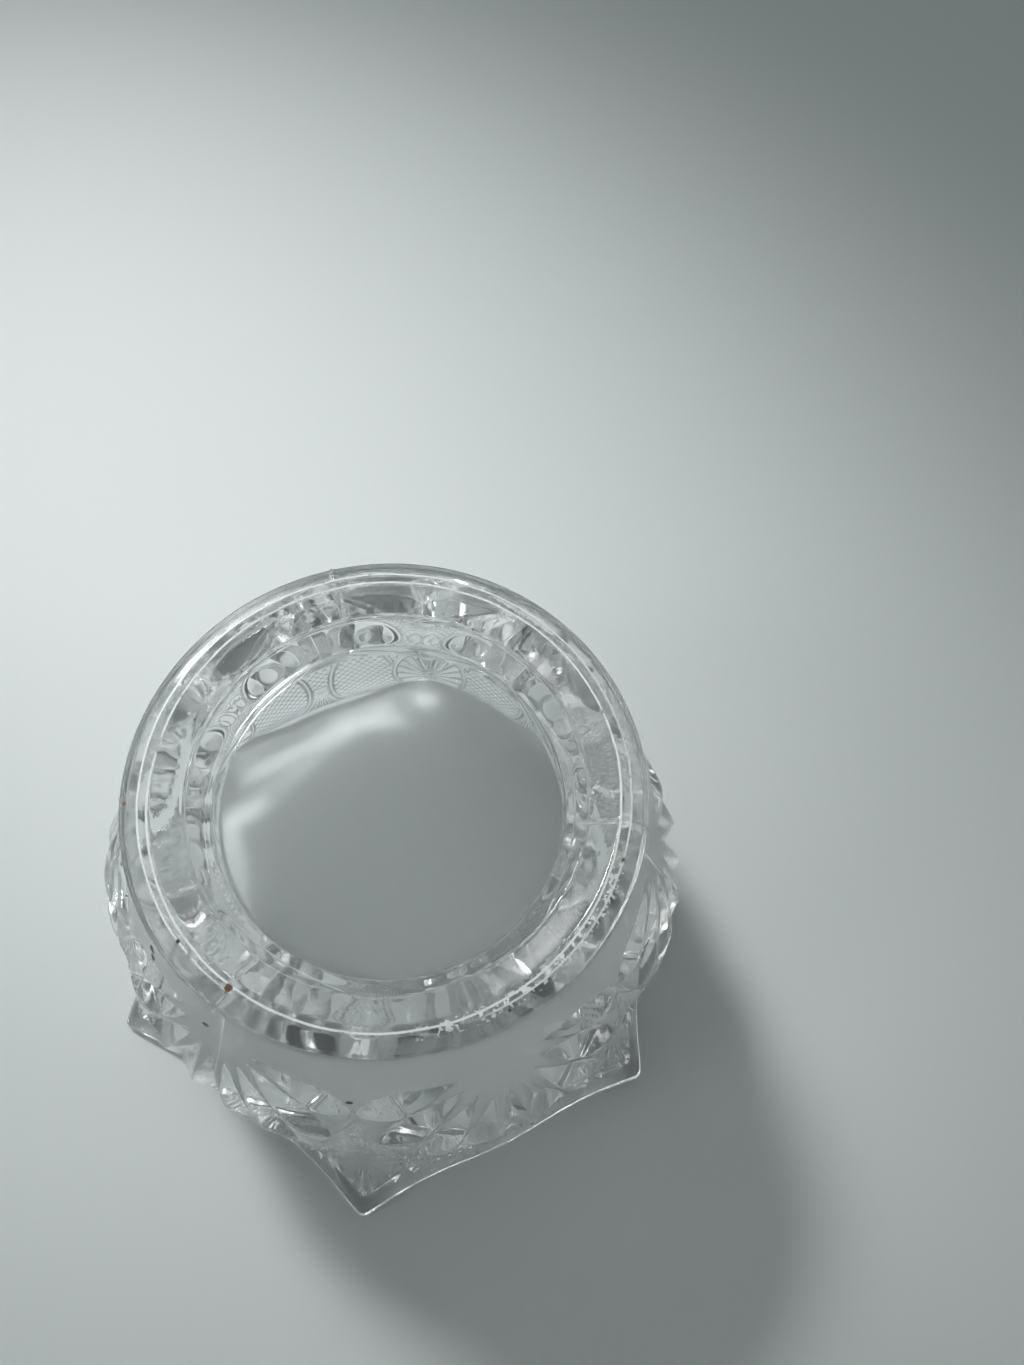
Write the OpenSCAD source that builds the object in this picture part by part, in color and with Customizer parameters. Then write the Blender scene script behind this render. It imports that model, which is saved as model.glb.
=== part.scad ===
// A pressed-glass dappen dish, standing mouth down: the foot ring is at the top and the six
// points of the rim rest on the plane z = 0. The dish is one piece of glass. Its zones are the
// nodes below: they share flat faces, and nothing in it comes apart or moves.

/* [Size] */
// Outside diameter of the foot ring
foot_d = 52.8; // [46:0.2:60]
// Overall height, from the rim points to the contact band of the foot
dish_h = 48.8; // [44:0.2:56]
// Diameter of the belly, at its widest
belly_d = 67.8; // [62:0.2:72]
// Distance across two opposite points of the rim
point_d = 79.2; // [76:0.2:88]
// Distance across two opposite sides of the rim, at the middle of each side
side_d = 67.2; // [64:0.2:72]

/* [Foot] */
// Inner diameter of the flat contact band
contact_id = 46.8; // [45:0.2:47.6]
// Outer diameter of the flat contact band
contact_od = 48.8; // [48:0.2:50]
// Diameter at which the gentle fall outside the contact band ends
brow_d = 51.6; // [50:0.2:52]
// Height of that fall
brow_drop = 0.45; // [0.2:0.05:0.8]
// Diameter of the recess inside the foot ring
recess_d = 41.0; // [38:0.2:43]
// Depth of the recess, from the contact band to its flat floor
recess_depth = 2.6; // [1.6:0.1:3.6]
// Height of the sharp inner edge of the foot ring above the recess floor
edge_h = 0.8; // [0.4:0.1:1.2]
// Height of the smooth neck under the foot ring
neck_h = 2.7; // [2:0.1:3.4]

/* [Glass] */
// Thickness of the floor of the bowl
floor_t = 4.0; // [3:0.1:5]
// Thickness of the wall where the floor's fillet ends
shoulder_t = 4.4; // [3.4:0.1:5.6]
// Thickness of the rim at the middle of a side
rim_t = 1.8; // [1.4:0.1:2.6]
// How many times thicker the glass is at a corner than at the middle of a side
corner_share = 1.8; // [1:0.1:2.2]

/* [Rim] */
// Height of the pointed rim, up to where the wall starts
rim_h = 4.0; // [3:0.1:6]
// Rise of the middle of each side above the plane of the points
side_rise = 1.3; // [0.6:0.1:2]
// Sharpness of the six points: 1 gives straight sides, and more gives hollow ones
point_sharpness = 1.35; // [1:0.05:1.6]

/* [Hidden] */
sides = 6;
sector = 360 / sides;
around = 60;
wall_levels = 15;
fillet_levels = 8;
edge_levels = 6;
rim_levels = 4;
lip_levels = 6;
glass = [0.86, 0.90, 0.90, 0.4];

foot_r = foot_d / 2;
belly_r = belly_d / 2;
contact_ir = contact_id / 2;
contact_or = contact_od / 2;
brow_r = brow_d / 2;
brow_z = dish_h - brow_drop;
edge_round = 0.7;
waist_r = foot_r - 0.8;
recess_r = recess_d / 2;
recess_z = dish_h - recess_depth;
neck_z = recess_z - neck_h;
neck_r = foot_r - 0.3;
floor_z = recess_z - floor_t;
lip_r = rim_t / 2;

// The bowl's inner fillet falls steeply from the flat floor and then spreads to the shoulder.
// Its profile is how far out it has come at each share of its height.
fillet_start_r = 18.3;
fillet_h = 19;
shoulder_z = floor_z - fillet_h;
fillet_profile = [[0, 0], [0.3, 0.16], [0.7, 0.7], [1, 1]];

// Outer radius at the middle of a side and at a corner, against depth below the neck, which runs
// from 0 at the neck to 1 at the rim.
side_profile = [
    [0, neck_r],
    [0.12, blend(neck_r, belly_r, 0.31)],
    [0.4, belly_r],
    [0.6, belly_r - 0.7],
    [0.8, belly_r - 1.2],
    [1, side_d / 2],
];
corner_profile = [
    [0, neck_r],
    [0.12, blend(neck_r, belly_r, 0.27)],
    [0.35, blend(neck_r, belly_r, 0.76)],
    [0.55, belly_r - 1.5],
    [0.8, belly_r + 0.1],
    [1, point_d / 2],
];

function blend(a, b, share) = a + (b - a) * share;

// Slope of the smooth curve through a profile at its point i.
function slope(p, i) =
    let (before = max(i - 1, 0), after = min(i + 1, len(p) - 1))
    (p[after][1] - p[before][1]) / (p[after][0] - p[before][0]);

// The stretch of the profile that holds x.
function stretch(p, x, i = 0) = i >= len(p) - 2 || x <= p[i + 1][0] ? i : stretch(p, x, i + 1);

// Value at x of the smooth curve through a profile's points.
function curve(p, x) =
    let (i = stretch(p, x), width = p[i + 1][0] - p[i][0], u = (x - p[i][0]) / width)
    (2 * u ^ 3 - 3 * u ^ 2 + 1) * p[i][1] + (u ^ 3 - 2 * u ^ 2 + u) * width * slope(p, i)
    + (3 * u ^ 2 - 2 * u ^ 3) * p[i + 1][1] + (u ^ 3 - u ^ 2) * width * slope(p, i + 1);

function depth_share(z) = (neck_z - z) / (neck_z - lip_r);
function outer_side_r(z) = curve(side_profile, depth_share(z));
function outer_corner_r(z) = curve(corner_profile, depth_share(z));

// Wall thickness at a height below the shoulder, at the middle of a side and at a corner.
function wall_t(z) = blend(rim_t, shoulder_t, z / shoulder_z);
function corner_t(z) = blend(rim_t * corner_share, shoulder_t, z / shoulder_z);

// How far a direction is from the middle of a side (0) towards a corner (1). A corner lies on -Y.
function cornerness(angle) =
    let (off = (angle + 90) % sector, from_middle = off - sector / 2)
    ((1 / cos(from_middle) - 1) / (1 / cos(sector / 2) - 1)) ^ point_sharpness;

// One closed ring of points whose radius and lift go from side to corner and back.
function ring_points(side_r, corner_r, z, lift = 0) = [
    for (i = [0:around - 1])
        let (angle = i * 360 / around, share = cornerness(angle), r = blend(side_r, corner_r, share))
        [r * cos(angle), r * sin(angle), z + lift * (1 - share)]
];

// The rings that a wall or rim is lofted through, each [side radius, corner radius, z, lift].
function outer_ring(z, lift = 0) = [outer_side_r(z), outer_corner_r(z), z, lift];
function inner_ring(z, lift = 0) =
    [outer_side_r(z) - wall_t(z), outer_corner_r(z) - corner_t(z), z, lift];

// Solid between rings that go once round a closed section.
module closed_loft(rings) {
    count = len(rings);
    points = [for (ring = rings) each ring_points(ring[0], ring[1], ring[2], ring[3])];
    triangles = [
        for (k = [0:count - 1], i = [0:around - 1])
            let (j = (i + 1) % around, here = k * around, next = ((k + 1) % count) * around)
            each [[here + i, next + i, here + j], [here + j, next + i, next + j]]
    ];
    polyhedron(points, triangles);
}

// Outline of the foot ring's section: the contact band, a gentle fall to a rounded outer edge
// with a waist under it, and inside a slope that falls to a sharp inner edge.
module foot_section() {
    edge = [for (i = [0:edge_levels])
        let (a = blend(20, 160, i / edge_levels))
        [brow_r + (foot_r - brow_r) * sin(a), brow_z - edge_round * (1 - cos(a))]];
    slope_drop = recess_depth - edge_h;
    inner = [for (u = [1:-0.2:0])
        [blend(contact_ir, recess_r, u), dish_h - slope_drop * u ^ 1.15]];
    polygon(concat([[recess_r, recess_z]], inner, [[contact_or, dish_h]], edge, [[waist_r, recess_z]]));
}

module foot_ring() {
    color(glass)
        rotate_extrude($fn = 120) foot_section();
}

// The flat floor plate, from the recess down to the flat inside floor, with the neck round it.
module base_disc() {
    neck_outline = [
        [waist_r, recess_z],
        [waist_r, blend(neck_z, recess_z, 0.4)],
        [neck_r, neck_z],
        [outer_side_r(floor_z), floor_z],
    ];
    color(glass)
        rotate_extrude($fn = 120) polygon(concat([[0, floor_z], [0, recess_z]], neck_outline));
}

// The patterned wall: round under the neck and six-sided at the rim.
module bowl_wall() {
    outer = [for (i = [0:wall_levels]) outer_ring(blend(floor_z, rim_h, i / wall_levels))];
    inner = [for (i = [0:wall_levels - 3]) inner_ring(blend(rim_h, shoulder_z, i / (wall_levels - 2)))];
    shoulder = inner_ring(shoulder_z);
    fillet = [for (i = [0:fillet_levels])
        let (t = 1 - i / fillet_levels, out = curve(fillet_profile, t))
        [
            blend(fillet_start_r, shoulder[0], out),
            blend(fillet_start_r, shoulder[1], out),
            blend(floor_z, shoulder_z, t),
            0
        ]];
    color(glass)
        closed_loft(concat(outer, inner, fillet));
}

// The pointed rim: the six points touch z = 0, and the lip is rounded.
module pointed_rim() {
    top = rim_h;
    function lift(z) = side_rise * (1 - z / top);
    outer = [for (i = [0:rim_levels]) let (z = blend(top, lip_r, i / rim_levels)) outer_ring(z, lift(z))];
    lip = [for (i = [1:lip_levels - 1])
        let (
            a = 180 * i / lip_levels,
            in = lip_r * (1 - cos(a)),
            z = lip_r * (1 - sin(a)),
            from = outer_ring(lip_r)
        )
        [from[0] - in, from[1] - in * corner_share, z, lift(z)]];
    inner = [for (i = [0:rim_levels]) let (z = blend(lip_r, top, i / rim_levels)) inner_ring(z, lift(z))];
    color(glass)
        closed_loft(concat(outer, lip, inner));
}

foot_ring();
base_disc();
bowl_wall();
pointed_rim();
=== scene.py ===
"""Pressed-glass dappen dish, standing mouth down on the six points of its rim.

The whole dish is one seamless skin of glass, lofted ring by ring: recess floor, foot ring, neck,
patterned wall, rounded lip, inner wall, fillet and inner floor. Its lengths are in millimetres
until the mesh is written, and angles start at +X. A corner of the rim lies on -Y. Lamps and
camera are placed in metres."""

import math

import bpy
import numpy as np
from mathutils import Matrix, Vector


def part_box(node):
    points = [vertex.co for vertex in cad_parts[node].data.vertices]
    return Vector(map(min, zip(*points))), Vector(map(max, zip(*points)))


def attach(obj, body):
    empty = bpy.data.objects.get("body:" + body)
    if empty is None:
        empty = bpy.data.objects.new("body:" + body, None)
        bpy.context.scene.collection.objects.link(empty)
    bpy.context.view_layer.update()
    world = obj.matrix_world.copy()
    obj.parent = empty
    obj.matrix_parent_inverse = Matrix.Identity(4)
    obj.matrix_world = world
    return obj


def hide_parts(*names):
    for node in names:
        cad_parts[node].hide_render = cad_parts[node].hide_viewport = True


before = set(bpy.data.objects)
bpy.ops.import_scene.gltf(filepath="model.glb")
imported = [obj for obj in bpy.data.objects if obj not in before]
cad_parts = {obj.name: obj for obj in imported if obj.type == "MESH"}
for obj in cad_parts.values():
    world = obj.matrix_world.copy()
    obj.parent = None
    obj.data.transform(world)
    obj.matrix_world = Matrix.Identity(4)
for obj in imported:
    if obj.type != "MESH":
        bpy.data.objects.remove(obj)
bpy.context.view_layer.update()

MM = 0.001


def box_mm(node):
    low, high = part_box(node)
    return [c / MM for c in low], [c / MM for c in high]


# Sizes read from the CAD nodes.
RING_LOW, RING_HIGH = box_mm("foot_ring")
DISC_LOW, _ = box_mm("base_disc")
_, RIM_HIGH = box_mm("pointed_rim")
FOOT_R = RING_HIGH[0]
TOP_Z = RING_HIGH[2]
RECESS_Z = RING_LOW[2]
FLOOR_Z = DISC_LOW[2]
RIM_H = RIM_HIGH[2]
# The visual tips are rounder than the CAD's facets, so they stop this far short of them.
TIP_SHORT = 0.16
POINT_R = RIM_HIGH[1] - TIP_SHORT

# Foot.
CONTACT_IR = 23.3
CONTACT_OR = 24.4
RECESS_R = 20.5
BROW_R = 25.8
BROW_Z = 48.35
# The outer edge is rounded by this much above and below.
EDGE_ROUND = 0.7
# The upright step from the recess floor, and how hollow the slope above it is.
EDGE_H = 0.8
SLOPE_POWER = 1.15
STEP_CORNER = 0.3
WAIST = 0.35
NECK_H = 2.7
NECK_Z = RECESS_Z - NECK_H
NECK_R = FOOT_R - WAIST

# Wall. The profiles give the radius at each share of the way from the neck down to the lip.
BELLY_R = 33.9
SIDE_R = 33.6
LIP_R = 0.9
RIM_T = 1.8
CORNER_SHARE = 1.8
SHOULDER_T = 4.4
FILLET_H = 19.0
FILLET_START_R = 18.3
# How far out the fillet has come at each share of its height.
FILLET_PROFILE = [(0, 0), (0.3, 0.16), (0.7, 0.7), (1, 1)]
SHOULDER_Z = FLOOR_Z - FILLET_H
SIDE_RISE = 1.3
POINT_SHARPNESS = 1.35

SIDES = 6
AROUND = 1080
WALL_ROWS = 240


def blend(a, b, share):
    return a + (b - a) * share


def curve(profile, x):
    """Smooth curve through a profile's (x, value) points."""
    px, pv = np.array(profile, float).T
    before = np.maximum(np.arange(len(px)) - 1, 0)
    after = np.minimum(np.arange(len(px)) + 1, len(px) - 1)
    slope = (pv[after] - pv[before]) / (px[after] - px[before])
    i = np.clip(np.searchsorted(px, x, side="right") - 1, 0, len(px) - 2)
    width = px[i + 1] - px[i]
    u = (x - px[i]) / width
    start = (2 * u**3 - 3 * u**2 + 1) * pv[i] + (u**3 - 2 * u**2 + u) * width * slope[i]
    end = (3 * u**2 - 2 * u**3) * pv[i + 1] + (u**3 - u**2) * width * slope[i + 1]
    return start + end


SIDE_PROFILE = [
    (0, NECK_R),
    (0.12, blend(NECK_R, BELLY_R, 0.31)),
    (0.4, BELLY_R),
    (0.6, BELLY_R - 0.7),
    (0.8, BELLY_R - 1.2),
    (1, SIDE_R),
]
CORNER_PROFILE = [
    (0, NECK_R),
    (0.12, blend(NECK_R, BELLY_R, 0.27)),
    (0.35, blend(NECK_R, BELLY_R, 0.76)),
    (0.55, BELLY_R - 1.5),
    (0.8, BELLY_R + 0.1),
    (1, POINT_R),
]


def depth_share(z):
    return (NECK_Z - z) / (NECK_Z - LIP_R)


# --- The rings that the skin is lofted through: side radius, corner radius, height, lift ---


def round_rings(r, z):
    r = np.asarray(r, float)
    z = np.broadcast_to(np.asarray(z, float), r.shape)
    return np.stack([r, r, z, np.zeros_like(r)], 1)


def wall_rings(z, inner=False):
    side = curve(SIDE_PROFILE, depth_share(z))
    corner = curve(CORNER_PROFILE, depth_share(z))
    if inner:
        share = z / SHOULDER_Z
        side = side - blend(RIM_T, SHOULDER_T, share)
        corner = corner - blend(RIM_T * CORNER_SHARE, SHOULDER_T, share)
    lift = SIDE_RISE * np.clip(1 - z / RIM_H, 0, 1)
    return np.stack([side, corner, z, lift], 1)


def recess_rings():
    """The flat recess floor, its small corner and the upright step under the foot's inner edge."""
    floor = round_rings([0.3, 4, 8, 12, 15, 18, 19.6, RECESS_R - 0.35], RECESS_Z)
    turn = np.radians(np.linspace(10, 90, 5))
    bend_r = RECESS_R - STEP_CORNER * (1 - np.sin(turn))
    bend = round_rings(bend_r, RECESS_Z + STEP_CORNER * (1 - np.cos(turn)))
    step = round_rings([RECESS_R, RECESS_R], [RECESS_Z + 0.5, RECESS_Z + EDGE_H - 0.04])
    return [floor, bend, step]


def foot_rings():
    """The inner slope, the contact band with its two crisp edges and the rounded outer edge."""
    slope_drop = TOP_Z - RECESS_Z - EDGE_H
    u = np.concatenate([[1, 0.985], np.linspace(0.95, 0.08, 22), [0.05, 0.02]])
    inner = round_rings(blend(CONTACT_IR, RECESS_R, u), TOP_Z - slope_drop * u**SLOPE_POWER)
    band = round_rings(np.linspace(CONTACT_IR, CONTACT_OR, 8), TOP_Z)
    t = np.linspace(0, 1, 12)[1:]
    brow = round_rings(blend(CONTACT_OR, BROW_R, t), blend(TOP_Z, BROW_Z, t))
    a = np.radians(np.linspace(20, 160, 22))
    outer_r = BROW_R + (FOOT_R - BROW_R) * np.sin(a)
    outer = round_rings(outer_r, BROW_Z - EDGE_ROUND * (1 - np.cos(a)))
    return [inner, band, brow, outer]


def neck_rings():
    """The cove between the foot ring's outer edge and the wall."""
    t = np.linspace(0, 1, 18)[1:-1]
    waist = WAIST * np.sin(math.pi * t)
    under_edge = BROW_Z - 2 * EDGE_ROUND
    return [round_rings(blend(BROW_R, NECK_R, t) - waist, blend(under_edge, NECK_Z, t))]


def lip_rings():
    start = wall_rings(np.array([LIP_R]))[0]
    a = np.radians(np.linspace(0, 180, 13)[1:-1])
    inward = LIP_R * (1 - np.cos(a))
    z = LIP_R * (1 - np.sin(a))
    lift = SIDE_RISE * (1 - z / RIM_H)
    return [np.stack([start[0] - inward, start[1] - inward * CORNER_SHARE, z, lift], 1)]


def fillet_rings():
    """The steep fillet from the inner floor down to the inner wall's shoulder, and that floor."""
    shoulder = wall_rings(np.array([SHOULDER_Z]), inner=True)[0]
    t = np.concatenate([np.linspace(1, 0.06, 44), [0.03, 0.012]])
    out = curve(FILLET_PROFILE, t)
    side = blend(FILLET_START_R, shoulder[0], out)
    corner = blend(FILLET_START_R, shoulder[1], out)
    z = blend(FLOOR_Z, SHOULDER_Z, t)
    fillet = np.stack([side, corner, z, np.zeros_like(z)], 1)
    floor = round_rings([FILLET_START_R - 0.15, 17.2, 15, 12, 8, 4, 0.3], FLOOR_Z)
    return [fillet, floor]


# --- The pressed pattern: how deep each point of the outer wall is cut below its envelope ---
# u is measured round a belt of the wall from the middle of a side, and z up from the board.

BELT_R = 34.0
HALF_SECTOR = BELT_R * math.pi / SIDES
# Below the neck, a fan of leaves on each side, with an arch round it.
PIVOT_Z = 41.0
FAN_HALF_W = 18.4
FAN_H = 21.0
FAN_LEAVES = 9
FAN_HUB = 0.26
FAN_SPREAD = math.radians(79)
LEAF_SLOPE = 0.85
ARCH_W, ARCH_DEPTH = 1.7, 0.8
FAN_TOP_GAP = 3.0
# An oval of hobnails on either side of the middle.
OVAL_X, OVAL_Z = 7.3, 10.5
OVAL_A, OVAL_B = 4.8, 8.0
OVAL_RIM_W, OVAL_RIM_DEPTH = 1.4, 0.7
HOB_PITCH = 0.95
HOB_DEPTH = 0.36
# A ray burst on each corner.
BURST_Z = 11.0
BURST_A, BURST_B = 5.0, 7.0
BURST_RAYS = 18
BURST_DEPTH = 0.62
BURST_RIM_W, BURST_RIM_DEPTH = 1.2, 0.6
# Fine rays that spread down from an apex between the two ovals.
APEX_Z = 11.0
APEX_RAYS = 44
APEX_DEPTH = 0.42
APEX_FADE = 3.0
APEX_LOW_Z = 1.6
# Plain glass by the rim, into which the pattern fades.
PLAIN_Z = 2.6
PLAIN_LOW_Z = 1.4


def oval_distance(x, z, centre_x, centre_z, a, b):
    """Distance outside an oval's edge, to first order; negative inside."""
    dx, dz = x - centre_x, z - centre_z
    e = np.maximum(np.hypot(dx / a, dz / b), 1e-6)
    grade = np.hypot(dx / a**2, dz / b**2) / e
    return (e - 1) / np.maximum(grade, 1e-6)


def flute(distance, width, depth):
    """A round-bottomed groove from distance 0 to width."""
    t = 2 * distance / width - 1
    return depth * np.clip(1 - t**2, 0, None)


def hobnails(u, z):
    """Rows of small four-sided points between crossed V grooves."""
    p = (u + z) / math.sqrt(2) / HOB_PITCH
    q = (u - z) / math.sqrt(2) / HOB_PITCH
    peak_p = 1 - np.abs(2 * (p - np.floor(p)) - 1)
    peak_q = 1 - np.abs(2 * (q - np.floor(q)) - 1)
    return HOB_DEPTH * (1 - np.minimum(peak_p, peak_q))


def rays(angle, count_per_turn):
    """1 in the bottom of each V cut and 0 on the ridge between two."""
    t = angle * count_per_turn / (2 * math.pi)
    return 1 - np.abs(2 * (t - np.floor(t)) - 1)


def fan_leaves(u, z):
    """Long V-cut leaves that spread from the neck and end in points along the fan's arch."""
    down = PIVOT_Z - z
    angle = np.arctan2(u, down)
    reach = np.hypot(u, down)
    arch = 1 / np.hypot(np.sin(angle) / FAN_HALF_W, np.cos(angle) / FAN_H)
    along = reach / arch
    pitch = 2 * FAN_SPREAD / FAN_LEAVES
    off = np.abs(angle - pitch * np.round(angle / pitch))
    past_hub = np.clip((along - FAN_HUB) / (1 - FAN_HUB), 0, 1)
    swell = np.sin(math.pi * past_hub**1.2) ** 0.7
    half_leaf = 0.5 * pitch * swell
    cut = np.clip(half_leaf - off, 0, None) * reach * LEAF_SLOPE
    inside = (np.abs(angle) < FAN_SPREAD) & (down > 0) & (along < 1)
    return np.where(inside, cut, 0)


def relief(u, z):
    """Depth of the cut at u and z. A later pattern takes the place of an earlier one."""
    x = np.abs(u)
    to_oval = oval_distance(x, z, OVAL_X, OVAL_Z, OVAL_A, OVAL_B)
    to_burst = oval_distance(x, z, HALF_SECTOR, BURST_Z, BURST_A, BURST_B)
    to_fan = oval_distance(u, z, 0, PIVOT_Z, FAN_HALF_W, FAN_H)
    cut = hobnails(u, z)
    above_fan = z > PIVOT_Z - FAN_TOP_GAP
    beside_oval = (z < OVAL_Z) & (x > OVAL_X) & (to_burst > 0)
    cut = np.where(above_fan | beside_oval, 0, cut)
    below_apex = (z < APEX_Z) & (x < OVAL_X) & (to_oval > 0)
    angle = np.arctan2(u, np.maximum(APEX_Z - z, 1e-6)) + math.pi / APEX_RAYS
    fade = np.clip((APEX_Z - z) / APEX_FADE, 0, 1) * (z >= APEX_LOW_Z)
    cut = np.where(below_apex, APEX_DEPTH * rays(angle, APEX_RAYS) * fade, cut)
    cut = np.where((to_fan < 0) | (z > PIVOT_Z), fan_leaves(u, z), cut)
    arch = (to_fan >= 0) & (to_fan < ARCH_W) & ~above_fan
    cut = np.where(arch, flute(to_fan, ARCH_W, ARCH_DEPTH), cut)
    cut = np.where(to_oval < 0, hobnails(u, z), cut)
    oval_rim = (to_oval >= 0) & (to_oval < OVAL_RIM_W)
    cut = np.where(oval_rim, flute(to_oval, OVAL_RIM_W, OVAL_RIM_DEPTH), cut)
    turn = np.arctan2((z - BURST_Z) / BURST_B, (x - HALF_SECTOR) / BURST_A)
    share = np.clip(1 + to_burst / BURST_A, 0, 1)
    cut = np.where(to_burst < 0, BURST_DEPTH * rays(turn, BURST_RAYS) * share**0.7, cut)
    burst_rim = (to_burst >= 0) & (to_burst < BURST_RIM_W)
    cut = np.where(burst_rim, flute(to_burst, BURST_RIM_W, BURST_RIM_DEPTH), cut)
    return cut * np.clip((z - PLAIN_LOW_Z) / (PLAIN_Z - PLAIN_LOW_Z), 0, 1)


# --- The skin ---

ANGLES = np.arange(AROUND) / AROUND * 2 * math.pi
SECTOR = 2 * math.pi / SIDES
FROM_MIDDLE = np.mod(ANGLES + SECTOR / 2, SECTOR) - SECTOR / 2
TIP_ROUND = math.radians(1.1)
TO_CORNER = np.hypot(SECTOR / 2 - np.abs(FROM_MIDDLE), TIP_ROUND)
RISE = (1 / np.cos(SECTOR / 2 - TO_CORNER) - 1) / (1 / math.cos(SECTOR / 2) - 1)
CORNERNESS = np.where(TO_CORNER < SECTOR / 2, RISE, 0) ** POINT_SHARPNESS
CORNERNESS = CORNERNESS / CORNERNESS.max()
# How far each side of the rim was pushed in or out while the glass was soft.
SIDE_SAG = {-60: 0.7, -120: -0.9, 60: -0.3, 120: 0.3, 180: -0.2}
SAG_H = 18.0
# How far the belly of a side is in from true.
SIDE_FLAT = {-120: -1.0, -60: -0.3}
# Where the mould's joints cross the foot and wall, in degrees, and the fins that they leave.
SEAMS = (-4, 112, -119)
SEAM_H = 0.16
SEAM_W = 0.2


def per_side(pushes):
    """One value for each angle, which is full at the middle of a side and 0 at its corners."""
    total = np.zeros(AROUND)
    for middle, push in pushes.items():
        off = np.angle(np.exp(1j * (ANGLES - math.radians(middle))))
        total += push * np.clip(np.cos(off * SIDES / 2), 0, 1) * (np.abs(off) < SECTOR / 2)
    return total


def skin_points(rings):
    """(points, row by row) for rings of side radius, corner radius, height and lift."""
    side, corner, z, lift = (rings[:, i : i + 1] for i in range(4))
    r = side + (corner - side) * CORNERNESS
    r = r + per_side(SIDE_SAG) * np.clip(1 - z / SAG_H, 0, 1) ** 1.5
    r = r + per_side(SIDE_FLAT) * np.sin(math.pi * np.clip(z / NECK_Z, 0, 1))
    return np.stack([r * np.cos(ANGLES), r * np.sin(ANGLES), z + lift * (1 - CORNERNESS)], 2)


def skin_normals(points):
    """Outward normals of a grid of points, whose rows run from the foot down the outside."""
    down = np.gradient(points, axis=0)
    round_ = (np.roll(points, -1, 1) - np.roll(points, 1, 1)) / 2
    n = np.cross(down, round_)
    return n / np.maximum(np.linalg.norm(n, axis=2, keepdims=True), 1e-9)


def seam_height(points):
    """The three fine fins that the mould's joints leave down the outside."""
    angle = np.arctan2(points[..., 1], points[..., 0])
    r = np.hypot(points[..., 0], points[..., 1])
    fin = np.zeros(angle.shape)
    for seam in SEAMS:
        off = np.angle(np.exp(1j * (angle - math.radians(seam)))) * r
        fin += SEAM_H * np.exp(-((off / SEAM_W) ** 2))
    return fin


def build_dish():
    parts = {
        "recess": recess_rings(),
        "foot": foot_rings(),
        "neck": neck_rings(),
        "wall": [wall_rings(np.linspace(NECK_Z, LIP_R, WALL_ROWS))],
        "lip": lip_rings(),
        "inner": [wall_rings(np.linspace(LIP_R, SHOULDER_Z, 50)[:-1], inner=True)],
        "fillet": fillet_rings(),
    }
    rings = np.concatenate([ring for part in parts.values() for ring in part])
    rows = {}
    start = 0
    for name, part in parts.items():
        count = sum(len(ring) for ring in part)
        rows[name] = slice(start, start + count)
        start += count
    points = skin_points(rings)
    normals = skin_normals(points)
    wall = rows["wall"]
    u = FROM_MIDDLE * BELT_R * np.ones((WALL_ROWS, 1))
    z = np.broadcast_to(rings[wall, 2:3], u.shape)
    cut = np.zeros(points.shape[:2])
    cut[wall] = relief(u, z)
    for name in ("foot", "neck", "wall"):
        cut[rows[name]] -= seam_height(points[rows[name]]) * (cut[rows[name]] < 0.05)
    points = points - normals * cut[..., None]
    points[..., 2] = np.minimum(points[..., 2], TOP_Z)
    return write_mesh("dish_glass", points), points[wall]


def write_mesh(name, points):
    """A closed mesh from rows of points, with a cap of triangles at each end."""
    count = len(points)
    ends = np.array([[0, 0, points[0, 0, 2]], [0, 0, points[-1, 0, 2]]])
    verts = np.concatenate([points.reshape(-1, 3), ends]) * MM
    index = np.arange(count * AROUND).reshape(count, AROUND)
    here, below = index[:-1], index[1:]
    quads = np.stack([here, below, np.roll(below, -1, 1), np.roll(here, -1, 1)], 2).reshape(-1, 4)
    first, last = count * AROUND, count * AROUND + 1
    top = np.stack([np.full(AROUND, first), index[0], np.roll(index[0], -1)], 1)
    bottom = np.stack([np.full(AROUND, last), np.roll(index[-1], -1), index[-1]], 1)
    loops = np.concatenate([quads.ravel(), top.ravel(), bottom.ravel()])
    sizes = np.concatenate([np.full(len(quads), 4), np.full(2 * AROUND, 3)])
    mesh = bpy.data.meshes.new(name)
    mesh.vertices.add(len(verts))
    mesh.vertices.foreach_set("co", verts.ravel())
    mesh.loops.add(len(loops))
    mesh.loops.foreach_set("vertex_index", loops)
    mesh.polygons.add(len(sizes))
    mesh.polygons.foreach_set("loop_start", np.concatenate([[0], np.cumsum(sizes)[:-1]]))
    mesh.polygons.foreach_set("use_smooth", np.ones(len(sizes), bool))
    mesh.update(calc_edges=True)
    mesh.validate()
    obj = bpy.data.objects.new(name, mesh)
    bpy.context.scene.collection.objects.link(obj)
    return obj


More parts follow.
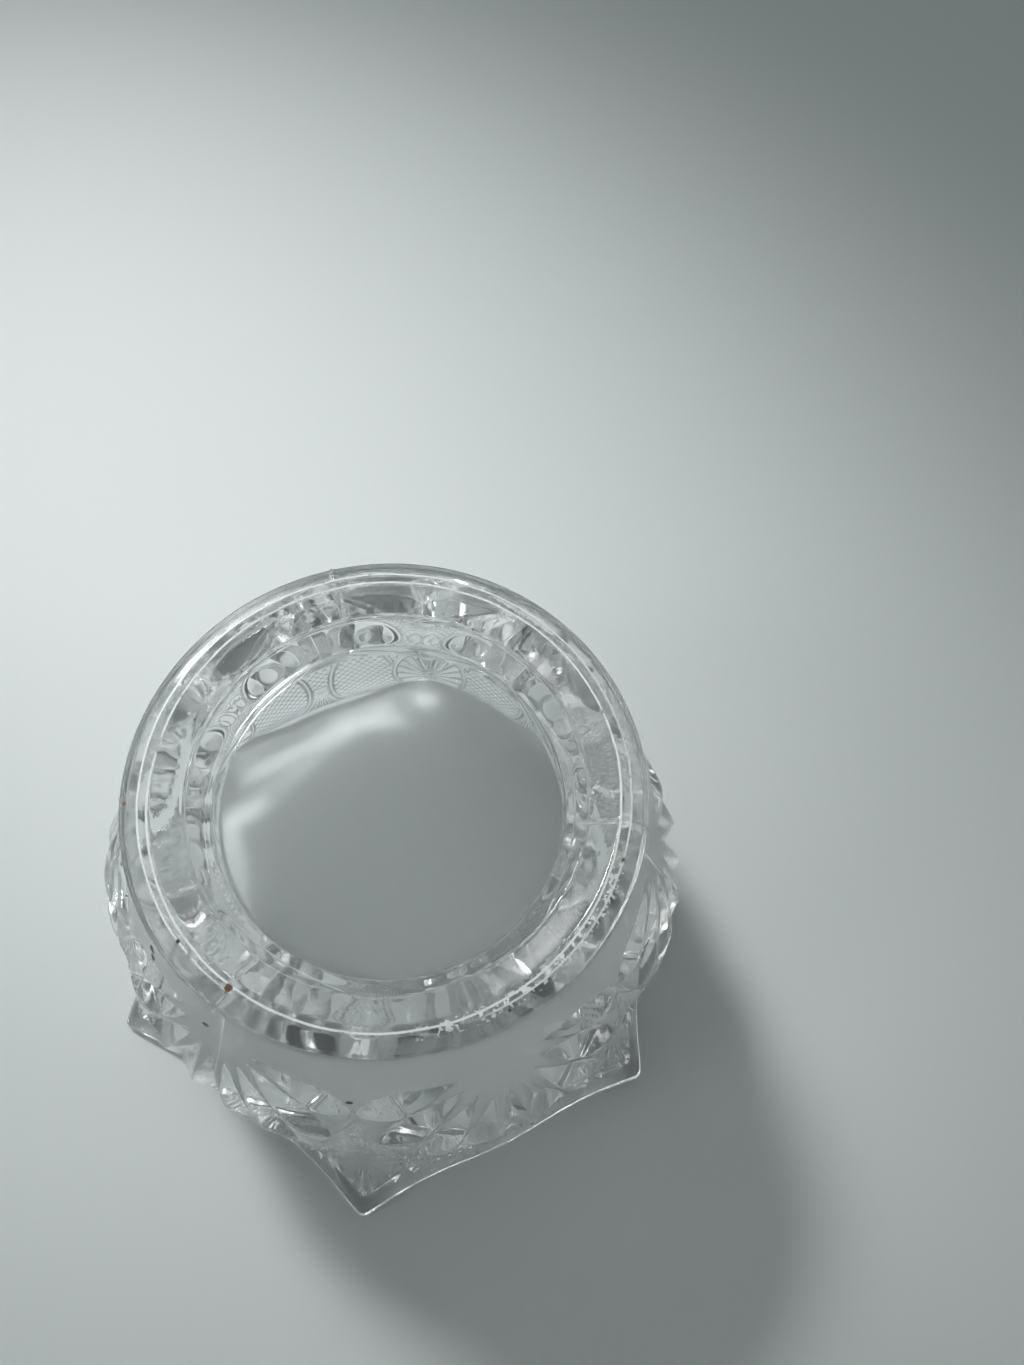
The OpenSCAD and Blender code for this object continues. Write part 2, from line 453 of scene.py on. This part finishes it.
class Wiring:
    """Short calls for building a material's node tree."""

    def __init__(self, material):
        material.use_nodes = True
        self.tree = material.node_tree
        self.shader = self.tree.nodes["Principled BSDF"]
        self.place = self.tree.nodes.new("ShaderNodeTexCoord").outputs["Object"]

    def feed(self, socket, value):
        if isinstance(value, bpy.types.NodeSocket):
            self.tree.links.new(value, socket)
        else:
            socket.default_value = value

    def math(self, operation, *values):
        node = self.tree.nodes.new("ShaderNodeMath")
        node.operation = operation
        for socket, value in zip(node.inputs, values):
            self.feed(socket, value)
        return node.outputs[0]

    def ramp(self, value, start, end):
        """0 at start, 1 at end, smooth between."""
        node = self.tree.nodes.new("ShaderNodeMapRange")
        node.interpolation_type = "SMOOTHSTEP"
        self.feed(node.inputs["Value"], value)
        node.inputs["From Min"].default_value = start
        node.inputs["From Max"].default_value = end
        return node.outputs["Result"]

    def ramp_mm(self, value, start, end):
        """A ramp over a length, with its ends in millimetres."""
        return self.ramp(value, start * MM, end * MM)

    def noise_mm(self, size, detail=2):
        """Noise from 0 to 1 whose lumps are about size millimetres."""
        node = self.tree.nodes.new("ShaderNodeTexNoise")
        self.feed(node.inputs["Vector"], self.place)
        node.inputs["Scale"].default_value = 1 / (size * MM)
        node.inputs["Detail"].default_value = detail
        return node.outputs["Fac"]

    def split(self):
        node = self.tree.nodes.new("ShaderNodeSeparateXYZ")
        self.feed(node.inputs["Vector"], self.place)
        return node.outputs

    def spot(self, centre, size):
        """1 inside a ragged ball round centre, whose size is in millimetres."""
        radius = size * MM
        node = self.tree.nodes.new("ShaderNodeVectorMath")
        node.operation = "DISTANCE"
        self.feed(node.inputs[0], self.place)
        node.inputs[1].default_value = centre
        noise = self.noise_mm(0.5, 3)
        ragged = self.math("MULTIPLY_ADD", noise, radius * 1.6, node.outputs["Value"])
        return self.ramp(ragged, radius * 1.9, radius * 1.5)

    def mix(self, share, colour_a, colour_b):
        node = self.tree.nodes.new("ShaderNodeMix")
        node.data_type = "RGBA"
        self.feed(node.inputs["Factor"], share)
        self.feed(node.inputs["A"], colour_a)
        self.feed(node.inputs["B"], colour_b)
        return node.outputs["Result"]


GLASS = (0.885, 0.897, 0.895, 1)
# White of the contact edges: partly wear, and partly painted highlight in place of their bright
# glints.
WEAR_AND_HIGHLIGHT_WHITE = (0.95, 0.97, 0.97, 1)
RUST = (0.16, 0.075, 0.02, 1)
SOOT = (0.012, 0.011, 0.01, 1)
SODA_GLASS_IOR = 1.52
HAZE = 0.12
DIRT_AND_HIGHLIGHT_ROUGHNESS = 0.4
FOOT_RIPPLE = 0.7
WALL_RIPPLE = 0.3
# How far the painted highlight and wear lines stray from their circles, in mm.
EDGE_WANDER = 0.2
# Specks of dirt, in mm: azimuth, distance from the axis, height and size. A distance of None
# puts the speck on the outside of the wall.
RUST_SPOTS = [
    (-118.5, 24.1, 48.8, 0.42),
    (-122.5, None, 39.2, 0.35),
    (191, 25.7, 48.4, 0.25),
    (-13, 24.4, 48.8, 0.25),
]
SOOT_SPOTS = [
    (-134, 24.4, 48.8, 0.22),
    (-123.5, None, 39.0, 0.25),
    (-142, None, 40.2, 0.5),
    (-141, None, 39.2, 0.4),
    (-90.5, None, 36.6, 0.35),
    (-99, None, 37.2, 0.3),
    (-82, None, 37.0, 0.3),
    (109, 24.8, 48.75, 0.16),
    (115, 24.5, 48.8, 0.16),
    (-56, 24.9, 48.7, 0.16),
    (-50, 25.3, 48.6, 0.2),
]


def speck_place(azimuth, r, z, wall):
    """A speck's centre in metres."""
    if r is None:
        column = wall[:, round(azimuth / 360 * AROUND) % AROUND]
        return tuple(column[np.argmin(np.abs(column[:, 2] - z))] * MM)
    a = math.radians(azimuth)
    return (r * math.cos(a) * MM, r * math.sin(a) * MM, z * MM)


def speck_marks(w, spots, wall_points):
    """1 on each speck and 0 elsewhere."""
    mark = 0.0
    for azimuth, radius, height, size in spots:
        centre = speck_place(azimuth, radius, height, wall_points)
        mark = w.math("MAXIMUM", mark, w.spot(centre, size))
    return mark


def contact_wear_and_highlight(w, x, y, z, r):
    """1 where the contact band is painted white, as wear and as painted highlight: its two edges,
    and chatter marks with painted glints between them.
    """
    on_top = w.ramp_mm(z, TOP_Z - 0.25, TOP_Z - 0.1)
    wander = w.math("MULTIPLY_ADD", w.noise_mm(4), EDGE_WANDER * MM, r)
    from_inner = w.math("SUBTRACT", wander, (CONTACT_IR + 0.15) * MM)
    # The inner line bows outward a little towards -Y.
    inner_off = w.math("MULTIPLY_ADD", w.math("MINIMUM", y, 0.0), 0.025, from_inner)
    outer_off = w.math("SUBTRACT", wander, (CONTACT_OR + 0.1) * MM)
    inner_edge = w.ramp_mm(w.math("ABSOLUTE", inner_off), 0.15, 0.06)
    outer_edge = w.ramp_mm(w.math("ABSOLUTE", outer_off), 0.13, 0.06)
    # The outer line of painted highlight fades out on the -Y side.
    outer_edge = w.math("MULTIPLY", outer_edge, w.ramp(w.math("DIVIDE", y, r), -0.93, -0.8))
    # Painted highlight: the two edge lines stand in for the bright glints on the band's crisp
    # edges, as well as for wear.
    wear_and_highlight = w.math("MULTIPLY", w.math("MAXIMUM", inner_edge, outer_edge), on_top)
    wear_and_highlight = w.math("MULTIPLY", wear_and_highlight, w.ramp(w.noise_mm(2.2), 0.24, 0.36))
    # The chatter marks, partly wear and partly painted sparkle highlight, are all on the +X -Y
    # side.
    on_side = w.ramp(w.math("DIVIDE", w.math("SUBTRACT", x, y), r), 1.1, 1.35)
    band = w.math("MULTIPLY", w.ramp_mm(r, 23.3, 23.8), w.ramp_mm(r, 25.6, 24.9))
    chatter_and_glints = w.math("MULTIPLY", w.ramp(w.noise_mm(0.45, 1), 0.55, 0.62), band)
    chatter_and_glints = w.math("MULTIPLY", chatter_and_glints, w.math("MULTIPLY", on_side, on_top))
    return w.math("MAXIMUM", wear_and_highlight, chatter_and_glints)


def glass_material(wall_points):
    """Clear pressed glass: rippled by the mould, and painted white on the edges that it stands on,
    partly as wear and partly as painted highlight.
    """
    material = bpy.data.materials.new("clear_pressed_glass")
    w = Wiring(material)
    x, y, z = w.split()
    r = w.math("SQRT", w.math("ADD", w.math("MULTIPLY", x, x), w.math("MULTIPLY", y, y)))
    wear_and_highlight = contact_wear_and_highlight(w, x, y, z, r)
    rust = speck_marks(w, RUST_SPOTS, wall_points)
    soot = speck_marks(w, SOOT_SPOTS, wall_points)
    # Painted highlight: the contact edges and chatter marks are painted opaque white, partly as
    # wear and partly in place of their highlights.
    colour = w.mix(wear_and_highlight, GLASS, WEAR_AND_HIGHLIGHT_WHITE)
    colour = w.mix(rust, colour, RUST)
    colour = w.mix(soot, colour, SOOT)
    w.feed(w.shader.inputs["Base Color"], colour)
    opaque = w.math("MAXIMUM", wear_and_highlight, w.math("MAXIMUM", rust, soot))
    w.feed(w.shader.inputs["Transmission Weight"], w.math("SUBTRACT", 1.0, opaque))
    # The foot ring is hazed by handling, most of all on its brow.
    foot = w.math("MULTIPLY", w.ramp_mm(z, TOP_Z - 3, TOP_Z - 2.2), w.ramp_mm(r, 20.3, 20.8))
    wall = w.math("MULTIPLY", w.ramp_mm(z, NECK_Z + 1, NECK_Z), w.ramp_mm(r, 25.5, 26.5))
    on_brow = w.ramp_mm(r, 24.6, 25)
    haze = w.math("MULTIPLY", foot, w.math("MULTIPLY_ADD", on_brow, HAZE, HAZE))
    haze = w.math("MULTIPLY", haze, w.noise_mm(3))
    w.feed(w.shader.inputs["Roughness"], w.math("MULTIPLY_ADD", opaque, DIRT_AND_HIGHLIGHT_ROUGHNESS, haze))
    w.shader.inputs["IOR"].default_value = SODA_GLASS_IOR
    # The mould's ripple is on the foot and the outer wall only.
    ripple = w.math("MULTIPLY_ADD", w.noise_mm(0.8, 3), 0.35, w.noise_mm(3.5))
    rippled = w.math("MULTIPLY_ADD", foot, FOOT_RIPPLE, w.math("MULTIPLY", wall, WALL_RIPPLE))
    bump = w.tree.nodes.new("ShaderNodeBump")
    bump.inputs["Strength"].default_value = 0.3
    bump.inputs["Distance"].default_value = 0.2 * MM
    w.feed(bump.inputs["Height"], w.math("MULTIPLY", ripple, rippled))
    w.feed(w.shader.inputs["Normal"], bump.outputs["Normal"])
    return material


BOARD_HALF = 0.45
BOARD_COLOUR = (0.66, 0.70, 0.70, 1)


def floor():
    half = BOARD_HALF
    mesh = bpy.data.meshes.new("floor")
    corners = [(-half, -half, 0), (half, -half, 0), (half, half, 0), (-half, half, 0)]
    mesh.from_pydata(corners, [], [(0, 1, 2, 3)])
    obj = bpy.data.objects.new("floor", mesh)
    bpy.context.scene.collection.objects.link(obj)
    material = bpy.data.materials.new("pale_board")
    material.use_nodes = True
    shader = material.node_tree.nodes["Principled BSDF"]
    shader.inputs["Base Color"].default_value = BOARD_COLOUR
    shader.inputs["Roughness"].default_value = 0.6
    mesh.materials.append(material)


def soft_lamp(name, place, aim, diameter, power, spread):
    data = bpy.data.lights.new(name, "AREA")
    data.shape = "DISK"
    data.size = diameter
    data.energy = power
    data.spread = math.radians(spread)
    light = bpy.data.objects.new(name, data)
    light.location = place
    light.rotation_euler = (Vector(aim) - Vector(place)).to_track_quat("-Z", "Y").to_euler()
    bpy.context.scene.collection.objects.link(light)


# Soft lamps round the board: name, place, point aimed at, diameter, watts and cone in degrees.
LAMPS = [
    ("key_back_left", (-0.31, 0.35, 0.44), (-0.045, 0.062, 0), 0.22, 0.103, 20),
    ("low_back_left", (-0.45, 0.60, 0.27), (-0.03, 0.04, 0.01), 0.44, 0.05, 24),
    ("fill_front_left", (-0.40, -0.20, 0.38), (0.0, 0.02, 0), 0.16, 0.014, 40),
    ("fill_right", (0.42, -0.04, 0.36), (0.01, 0.03, 0), 0.16, 0.009, 44),
]
# Stand-ins for the light that the glass gathers onto the board just inside the rim. They are
# narrow strips that light only the board: name, azimuth and radius of the middle, turn from
# the tangent there, length and watts, with angles in degrees and lengths in mm.
GLOWS = [
    ("glow_back_left", 124, 28.0, 2, 25, 0.00013),
    ("glow_back_inner", 129, 25.8, 8, 15, 0.00004),
    ("glow_back_fold", 108, 28.4, -9, 11, 0.00006),
    ("glow_point", 92, 31.6, 0, 4, 0.00003),
    ("glow_left", 171, 26.4, 5, 13, 0.00006),
    ("glow_left_fold", 157, 26.8, -26, 8, 0.00005),
    ("glow_left_inner", 176, 23.6, 20, 8, 0.00003),
    ("glow_left_low", 190, 25.6, 16, 7, 0.00003),
    ("glow_back_right", 60, 31.6, 0, 20, 0.00005),
]
GLOW_Z = 1.7
GLOW_WIDE = 0.8
BRIGHT_WAY = Vector((-0.55, 0.6, 0.45)).normalized()


def glow_strip(name, azimuth, radius, turn, length, power):
    data = bpy.data.lights.new(name, "AREA")
    data.shape = "RECTANGLE"
    data.size = GLOW_WIDE * MM
    data.size_y = length * MM
    data.energy = power
    light = bpy.data.objects.new(name, data)
    angle = math.radians(azimuth)
    light.location = (radius * MM * math.cos(angle), radius * MM * math.sin(angle), GLOW_Z * MM)
    light.rotation_euler = (0, 0, angle + math.radians(turn))
    light.visible_camera = False
    light.visible_transmission = False
    light.visible_glossy = False
    bpy.context.scene.collection.objects.link(light)


def lights():
    for lamp in LAMPS:
        soft_lamp(*lamp)
    for glow in GLOWS:
        glow_strip(*glow)
    # The room is brightest at the back left, above the board.
    world = bpy.data.worlds.new("studio")
    world.use_nodes = True
    nodes, links = world.node_tree.nodes, world.node_tree.links
    sky = nodes["Background"]
    sky.inputs["Color"].default_value = (0.86, 0.93, 0.93, 1)
    place = nodes.new("ShaderNodeTexCoord")
    facing = nodes.new("ShaderNodeVectorMath")
    facing.operation = "DOT_PRODUCT"
    facing.inputs[1].default_value = BRIGHT_WAY
    level = nodes.new("ShaderNodeMapRange")
    level.interpolation_type = "SMOOTHSTEP"
    level.inputs["From Min"].default_value = -0.2
    level.inputs["From Max"].default_value = 0.95
    level.inputs["To Min"].default_value = 0.08
    level.inputs["To Max"].default_value = 0.42
    links.new(place.outputs["Generated"], facing.inputs[0])
    links.new(facing.outputs["Value"], level.inputs["Value"])
    links.new(level.outputs["Result"], sky.inputs["Strength"])
    bpy.context.scene.world = world


# The camera looks steeply down from in front, a hand's width above the foot ring.
CAMERA_AT = Vector((0.0095, -0.0358, 0.1452))
CAMERA_AIM = Vector((0.0117, 0.0247, 0.0244))
CAMERA_ROLL = 7.9
CAMERA_LENS = 27.0
SENSOR = 36.0


def camera():
    data = bpy.data.cameras.new("camera")
    data.sensor_width = SENSOR
    data.lens = CAMERA_LENS
    data.clip_start = 0.005
    obj = bpy.data.objects.new("camera", data)
    look = (CAMERA_AIM - CAMERA_AT).to_track_quat("-Z", "Y").to_matrix()
    roll = Matrix.Rotation(math.radians(CAMERA_ROLL), 3, "Z")
    obj.matrix_world = Matrix.Translation(CAMERA_AT) @ (look @ roll).to_4x4()
    bpy.context.scene.collection.objects.link(obj)
    bpy.context.scene.camera = obj


def render_settings():
    scene = bpy.context.scene
    scene.view_settings.view_transform = "Standard"
    scene.cycles.max_bounces = 24
    scene.cycles.transmission_bounces = 24
    scene.cycles.glossy_bounces = 12
    scene.cycles.caustics_refractive = True
    scene.cycles.caustics_reflective = True
    scene.cycles.sample_clamp_indirect = 40
    scene.cycles.use_denoising = True


dish, dish_wall = build_dish()
dish.data.materials.append(glass_material(dish_wall))
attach(dish, "root")
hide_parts("foot_ring", "base_disc", "bowl_wall", "pointed_rim")

floor()
lights()
camera()
render_settings()
